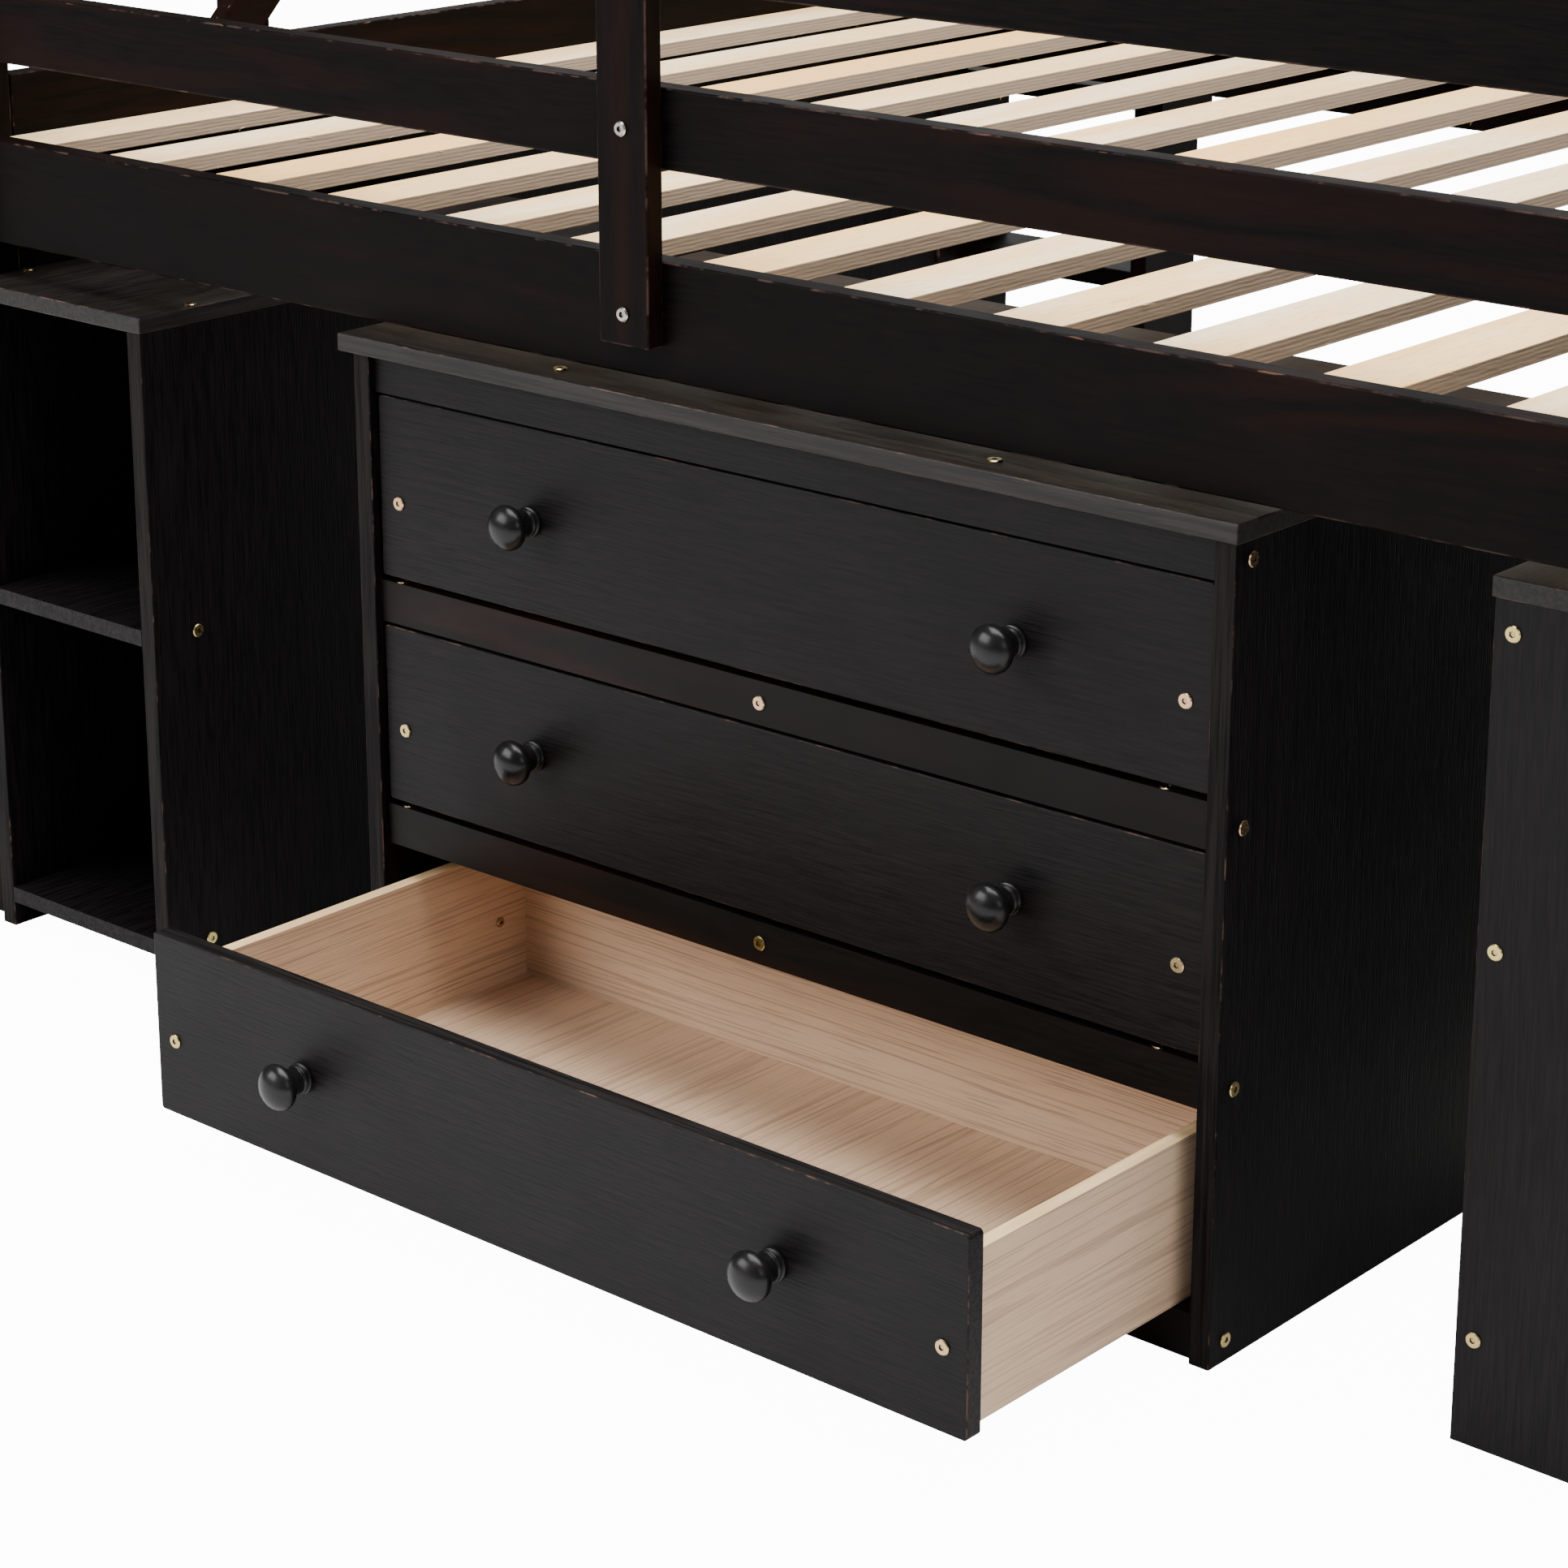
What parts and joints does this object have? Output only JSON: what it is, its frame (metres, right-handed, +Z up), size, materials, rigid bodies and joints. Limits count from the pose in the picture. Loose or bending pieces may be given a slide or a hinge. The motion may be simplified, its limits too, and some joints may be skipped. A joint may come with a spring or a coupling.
{
  "type": "low loft bed with storage",
  "caption": "Low loft bed with guard rails and a slatted deck over a pull-out open bookcase, a chest of drawers and a long narrow desk; short ladder at the back.",
  "frame": {"origin": "on the floor, under the middle of the whole outline with the bottom drawer standing open", "axes": "+Z up; +X along the bed from the bookcase end to the desk end; +Y from the drawer side to the ladder side"},
  "size_m": [2.025, 1.8424, 1.066],
  "materials": {
    "espresso_pine": "near-black brown stain over pine, satin, worn to warm brown on the arrises",
    "espresso_board": "charcoal satin laminate with fine grain and streaky board edges",
    "slat_plywood": "pale sanded face with grey layered edges",
    "raw_pine": "unfinished",
    "oak_laminate": "matt pinkish oak laminate, raw pine on the top edges",
    "black_lacquer": "glossy black lacquer on turned wood",
    "yellow_zinc": "yellow zinc plate",
    "silver_zinc": "bright zinc plate"
  },
  "bodies": {
    "bed": {"post_front_left": "espresso_pine", "post_front_right": "espresso_pine", "post_back_left": "espresso_pine", "post_back_right": "espresso_pine", "side_rail_front": "espresso_pine", "side_rail_back": "espresso_pine", "end_boards": "espresso_pine", "end_panel_left": "espresso_pine", "end_guards": "espresso_pine", "end_guard_posts": "espresso_pine", "end_braces": "espresso_pine", "guard_post_front": "espresso_pine", "guard_posts_back": "espresso_pine", "guard_rail_front_lower": "espresso_pine", "guard_rail_front_upper": "espresso_pine", "guard_rails_back": "espresso_pine", "slat_cleats": "raw_pine", "slats": "slat_plywood", "bed_bolts": "silver_zinc", "ladder_stiles": "espresso_pine", "ladder_treads": "espresso_pine", "ladder_batten": "espresso_pine"},
    "chest": {"chest_top": "espresso_board", "chest_side_left": "espresso_board", "chest_side_right": "espresso_board", "chest_back": "espresso_board", "chest_apron": "espresso_board", "chest_rail_upper": "espresso_board", "chest_rail_lower": "espresso_board", "chest_rail_bottom": "espresso_board", "drawer_runners": "raw_pine", "chest_screws": "yellow_zinc"},
    "bookcase": {"bookcase_top": "espresso_board", "bookcase_sides": "espresso_board", "bookcase_shelves": "espresso_board", "bookcase_divider": "espresso_board", "bookcase_screws": "yellow_zinc"},
    "desk": {"desk_top": "espresso_board", "desk_ends": "espresso_board", "desk_back": "espresso_board", "desk_apron": "espresso_board", "desk_screws": "yellow_zinc"},
    "drawer_1": {"drawer_1_front": "espresso_board", "drawer_1_sides": "oak_laminate", "drawer_1_back": "oak_laminate", "drawer_1_bottom": "oak_laminate", "drawer_1_knobs": "black_lacquer", "drawer_1_screws": "yellow_zinc"},
    "drawer_2": {"drawer_2_front": "espresso_board", "drawer_2_sides": "oak_laminate", "drawer_2_back": "oak_laminate", "drawer_2_bottom": "oak_laminate", "drawer_2_knobs": "black_lacquer", "drawer_2_screws": "yellow_zinc"},
    "drawer_3": {"drawer_3_front": "espresso_board", "drawer_3_sides": "oak_laminate", "drawer_3_back": "oak_laminate", "drawer_3_bottom": "oak_laminate", "drawer_3_knobs": "black_lacquer", "drawer_3_screws": "yellow_zinc"}
  },
  "joints": [
    {"name": "drawer_1_slide", "type": "slide", "parent": "chest", "child": "drawer_1", "axis": [0, -1, 0], "range_m": [0, 0.32]},
    {"name": "drawer_2_slide", "type": "slide", "parent": "chest", "child": "drawer_2", "axis": [0, -1, 0], "range_m": [0, 0.32]},
    {"name": "drawer_3_slide", "type": "slide", "parent": "chest", "child": "drawer_3", "axis": [0, -1, 0], "range_m": [-0.264, 0.056]},
    {"name": "chest_slide", "type": "slide", "parent": "bed", "child": "chest", "axis": [0, -1, 0], "range_m": [0, 0.5]},
    {"name": "bookcase_slide", "type": "slide", "parent": "bed", "child": "bookcase", "axis": [0, -1, 0], "range_m": [0, 0.6]},
    {"name": "desk_slide", "type": "slide", "parent": "bed", "child": "desk", "axis": [0, -1, 0], "range_m": [0, 1]}
  ]
}
